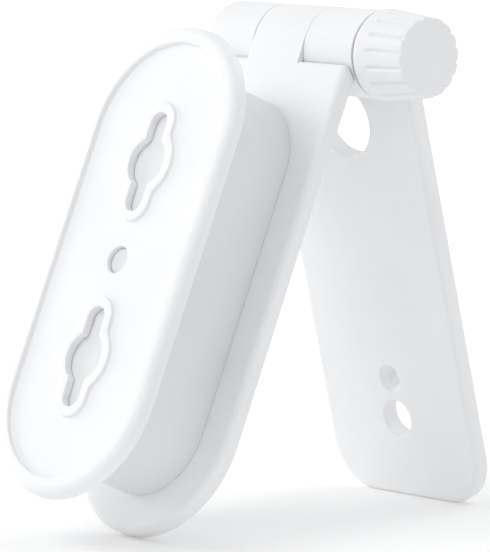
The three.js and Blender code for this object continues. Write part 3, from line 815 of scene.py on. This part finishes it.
# ---- hinge hardware ----
def hinge_bolt():
    """A hexagon-head bolt: chamfered head, plain shank, thread inside the knob."""
    chamfer = [(HEAD_START, 4.6), (HEAD_START + 0.5, 5.6), (HEAD_START + 0.9, 6.4), (HEAD_END, 6.4)]
    outline = hexagon(HEAD_FLATS)
    prism = [[(x, y, z) for y, z in outline] for x in (HEAD_START, HEAD_END)]
    head = solid("hinge_bolt_steel", prism)
    combine(head, "INTERSECT", [turned("tool", chamfer)])
    thread = threaded(THREAD_START, BOLT_END - 0.6, BOLT_RADIUS, THREAD_PITCH, 0.5, "X", 64)
    neck = [(HEAD_END - 1, 3.3), (HEAD_END, 3.3), (HEAD_END + 0.3, BOLT_RADIUS)]
    shank = rings_along(neck, 64, "X")
    end = rings_along([(BOLT_END - 0.3, 2.35), (BOLT_END, 2.05)], 64, "X")
    join(head, [solid("tool", shank + thread + end)])
    place(head, REAR, "rear_leaf", "steel", "hinge_bolt")


def bolt_cap():
    start, end = -HALF_WIDTH, CAP_THICKNESS - HALF_WIDTH
    profile = [(start + 0.12, 0.4), (start + 0.1, 3), (start + 0.04, 5.6)]
    profile += [(start + 0.01 + along, CAP_RADIUS - across) for along, across in quarter(0.5, 5)]
    profile += [(end - along, CAP_RADIUS - across) for along, across in quarter(0.15, 2)[::-1]]
    cap = turned("bolt_cap_moulding", profile)
    place(cap, REAR, "rear_leaf", "white_plastic", "bolt_cap")


def bush(side, node):
    flange_start = BUSH_END - BUSH_FLANGE_THICKNESS
    profile = [(BUSH_START + along, BUSH_RADIUS - across) for along, across in quarter(0.3, 3)]
    profile += [(flange_start - 0.2, BUSH_RADIUS), (flange_start, BUSH_RADIUS + 0.2)]
    profile += [(flange_start + along, BUSH_FLANGE - across) for along, across in quarter(0.15, 2)]
    profile += [(BUSH_END - along, BUSH_FLANGE - across) for along, across in quarter(0.15, 2)[::-1]]
    profile += [(BUSH_END - along, BOLT_BORE + across) for along, across in quarter(0.3, 3)]
    profile += [(BUSH_START + along, BOLT_BORE + across) for along, across in quarter(0.15, 2)[::-1]]
    made = turned(node + "_nylon", [(side * x, radius) for x, radius in profile], closed=True)
    place(made, FRONT, "front_leaf", "nylon", node)


def spring_washer():
    """A split ring whose two ends stand a little apart."""
    radius, start, end = SPRING_WASHER
    middle, half = (start + end) / 2, (end - start) / 2 - 0.12
    gap = SPRING_SLIT / radius
    corners = [(-half, radius), (half, radius), (half * 0.92, BOLT_BORE), (-half * 0.92, BOLT_BORE)]
    ease = 0.12
    section = []
    for k, (x, r) in enumerate(corners):
        for other in (corners[k - 1], corners[(k + 1) % 4]):
            away = Vector((other[0] - x, other[1] - r)).normalized() * ease
            section.append((x + away.x, r + away.y))
    rings = []
    for i in range(121):
        share = i / 120
        turn = gap / 2 + (2 * math.pi - gap) * share
        lift = middle + 0.2 * (share - 0.5)
        rings.append([(lift + x, r * math.sin(turn), r * math.cos(turn)) for x, r in section])
    place(solid("spring_washer_steel", rings), REAR, "washer_stack", "steel", "spring_washer")


def knob_insert():
    """A brass insert: a flange, then a barrel with straight knurls, bored for the bolt."""
    steps, end = KNURLS * 8, INSERT_START + INSERT_LENGTH
    flange_end = INSERT_START + INSERT_FLANGE_THICKNESS
    profile = [(INSERT_START + along, BOLT_BORE + across) for along, across in quarter(0.3, 3)[::-1]]
    profile += [(INSERT_START + along, INSERT_FLANGE - across) for along, across in quarter(0.2, 2)]
    profile += [(flange_end - along, INSERT_FLANGE - across) for along, across in quarter(0.2, 2)[::-1]]
    barrel = [(flange_end, INSERT_RADIUS - 0.35), (flange_end + 0.8, INSERT_RADIUS - 0.35)]
    knurled = [(flange_end + 1.1, INSERT_RADIUS), (end - 0.5, INSERT_RADIUS)]
    tail = [(end, INSERT_RADIUS - 0.4), (end, BOLT_BORE + 0.3), (end - 0.3, BOLT_BORE)]
    rings = []
    for x, radius in profile + barrel + knurled + tail:
        depth = 0.28 if (x, radius) in knurled else 0
        ring = []
        for i in range(steps):
            turn = 2 * math.pi * i / steps
            reach = radius - depth * (0.5 + 0.5 * math.cos(KNURLS * turn))
            ring.append((x, reach * math.cos(turn), reach * math.sin(turn)))
        rings.append(ring)
    place(solid("knob_insert_brass", rings, closed=True), REAR, "knob", "brass", "knob_insert")


# ---- knob ----
def grip_radius(x):
    """The knob's smooth outside: a straight collar that runs into a gentle taper."""
    share = max(x - KNOB_START - COLLAR_LENGTH, 0) / (KNOB_END - KNOB_START - COLLAR_LENGTH)
    return COLLAR_RADIUS - (COLLAR_RADIUS - GRIP_END_RADIUS) * share


def groove(x, turn):
    """Depth of the grooves at a place along the knob and a turn from the -Y side."""
    pitch = 2 * math.pi / GROOVES
    off = abs((turn + pitch / 2) % pitch - pitch / 2)
    start = min(max((x - GROOVE_START) / GROOVE_RUN_IN, 0), 1)
    width = GROOVE_HALF_WIDTH * (0.4 + 0.6 * math.sqrt(start))
    if off >= width or start <= 0:
        return 0.0
    return GROOVE_DEPTH * math.sqrt(start) * (0.5 + 0.5 * math.cos(math.pi * off / width))


def knob_body():
    steps = GROOVES * 28
    turns = [2 * math.pi * i / steps for i in range(steps)]
    seat_radius, seat_end = FLANGE_SEAT
    inside = [(SOCKET_END, 1.5), *blind(SOCKET_END, SOCKET_RADIUS, 1, 0.4)[::-1]]
    inside += [(seat_end, SOCKET_RADIUS), *blind(seat_end, seat_radius, 1)[::-1]]
    inside += [(KNOB_START + along, seat_radius + across) for along, across in quarter(0.25, 3)[::-1]]
    rings = [[(x, -r * math.cos(t), r * math.sin(t)) for t in turns] for x, r in inside]
    grip = [(KNOB_START + along, across) for along, across in quarter(KNOB_EDGE)]
    grip += [(KNOB_START + d, 0) for d in (0.8, COLLAR_LENGTH, 2.2, 3.0, 3.3)]
    grip += [(GROOVE_START + 0.12 * k, 0) for k in range(9)]
    long_start, long_end = GROOVE_START + 1, KNOB_END - KNOB_EDGE
    grip += [(long_start + (long_end - long_start) * k / 12, 0) for k in range(1, 12)]
    grip += [(KNOB_END - along, across) for along, across in quarter(KNOB_EDGE)[::-1]]
    for x, inset in grip:
        reach = [grip_radius(x) - groove(x, t) - inset for t in turns]
        rings.append([(x, -r * math.cos(t), r * math.sin(t)) for r, t in zip(reach, turns)])
    rim = rings[-1]
    rings += [[(x, y * k / 8, z * k / 8) for x, y, z in rim] for k in range(7, 0, -1)]
    place(solid("knob_moulding", rings), REAR, "knob", "knob_plastic", "knob_body")


face_plate()
spacer_block()
front_leaf()
rear_leaf()
for number, spot in enumerate(CLAMP_SCREWS, 1):
    name = f"clamp_screw_{number}"
    screw(name + "_steel", name, spot, LONG_SCREW_END)
for number, spot in enumerate(SPACER_SCREWS, 1):
    name = f"spacer_screw_{number}"
    screw(name + "_steel", name, spot, SHORT_SCREW_END)
hinge_bolt()
bolt_cap()
bush(-1, "pivot_bush_left")
bush(1, "pivot_bush_right")
for side, node in ((-1, "friction_washer_left"), (1, "friction_washer_right")):
    radius, start, end = FRICTION_WASHER
    ends = sorted((side * start, side * end))
    washer = tube(node + "_fibre", *ends, radius, BOLT_BORE, 0.1)
    place(washer, REAR, "rear_leaf", "fibre", node)
radius, start, end = FLAT_WASHER
washer = tube("flat_washer_steel", start, end, radius, BOLT_BORE, 0.2)
place(washer, REAR, "washer_stack", "steel", "flat_washer")
spring_washer()
knob_insert()
knob_body()

# ---- camera: the standard three-quarter view of the bracket, placed from the hinge ----
AZIMUTH = math.radians(48.56)
ELEVATION = math.radians(6.63)
DISTANCE = 1057.5 * MM
SIDE_SHIFT = 14.93 * MM
DROP = 51.59 * MM
back = Vector((
    math.sin(AZIMUTH) * math.cos(ELEVATION),
    -math.cos(AZIMUTH) * math.cos(ELEVATION),
    math.sin(ELEVATION),
))
right = Vector((math.cos(AZIMUTH), math.sin(AZIMUTH), 0))
up = back.cross(right)
camera = bpy.data.objects.new("camera", bpy.data.cameras.new("camera"))
camera.data.lens = 303.45
camera.data.sensor_width = 36
camera.data.clip_start = 0.05
camera.data.clip_end = 50
turn = Matrix((right, up, back)).transposed().to_4x4()
spot = PIVOT - right * SIDE_SHIFT - up * DROP + back * DISTANCE
camera.matrix_world = Matrix.Translation(spot) @ turn
bpy.context.scene.collection.objects.link(camera)
bpy.context.scene.camera = camera


# ---- floor, sky and lights ----
def floor():
    """A white sweep: it glows a little, and looks brighter than that to the camera alone."""
    bm = bmesh.new()
    size = FLOOR_HALF_SIZE
    corners = [(-size, -size, 0), (size, -size, 0), (size, size, 0), (-size, size, 0)]
    bm.faces.new([bm.verts.new(c) for c in corners])
    obj = add_object("floor", bm)
    material, shader = new_material("floor", (0.8, 0.8, 0.8), 0.9)
    tree = material.node_tree
    reach = tree.nodes.new("ShaderNodeVectorMath")
    reach.operation = "LENGTH"
    position = tree.nodes.new("ShaderNodeNewGeometry").outputs["Position"]
    tree.links.new(position, reach.inputs[0])
    lift = tree.nodes.new("ShaderNodeMapRange")
    lift.inputs["From Min"].default_value = FLOOR_LIFT_START
    lift.inputs["From Max"].default_value = FLOOR_LIFT_END
    lift.inputs["To Min"].default_value = FLOOR_LIFT_NEAR
    lift.inputs["To Max"].default_value = FLOOR_LIFT_FAR
    tree.links.new(reach.outputs["Value"], lift.inputs["Value"])
    glow = tree.nodes.new("ShaderNodeMath")
    glow.operation = "MULTIPLY_ADD"
    tree.links.new(lift.outputs["Result"], glow.inputs[0])
    path = tree.nodes.new("ShaderNodeLightPath")
    tree.links.new(path.outputs["Is Camera Ray"], glow.inputs[1])
    glow.inputs[2].default_value = FLOOR_GLOW
    tree.links.new(glow.outputs[0], shader.inputs["Emission Strength"])
    shader.inputs["Emission Color"].default_value = (1, 1, 1, 1)
    tree.links.new(spread(tree, noise(tree, 8, 2), 0.85, 0.95), shader.inputs["Roughness"])
    obj.data.materials.append(material)


def light(name, azimuth, elevation, power):
    data = bpy.data.lights.new(name, "AREA")
    data.shape = "DISK"
    data.size = LIGHT_SIZE
    data.energy = power
    obj = bpy.data.objects.new(name, data)
    a, e = math.radians(azimuth), math.radians(elevation)
    toward = Vector((math.sin(a) * math.cos(e), -math.cos(a) * math.cos(e), math.sin(e)))
    obj.location = LIGHT_AIM + toward * LIGHT_DISTANCE
    obj.rotation_mode = "QUATERNION"
    obj.rotation_quaternion = toward.to_track_quat("Z", "Y")
    bpy.context.scene.collection.objects.link(obj)


floor()
world = bpy.data.worlds.new("world")
world.use_nodes = True
sky = world.node_tree.nodes["Background"]
sky.inputs["Color"].default_value = SKY_COLOR
sky.inputs["Strength"].default_value = SKY_STRENGTH
bpy.context.scene.world = world
light("left", -82, 8, 5.6)
light("front", -22, 45, 3.9)
light("back", 180, 40, 2.2)
light("right", 130, 55, 0.8)
bpy.context.scene.view_settings.view_transform = "Standard"
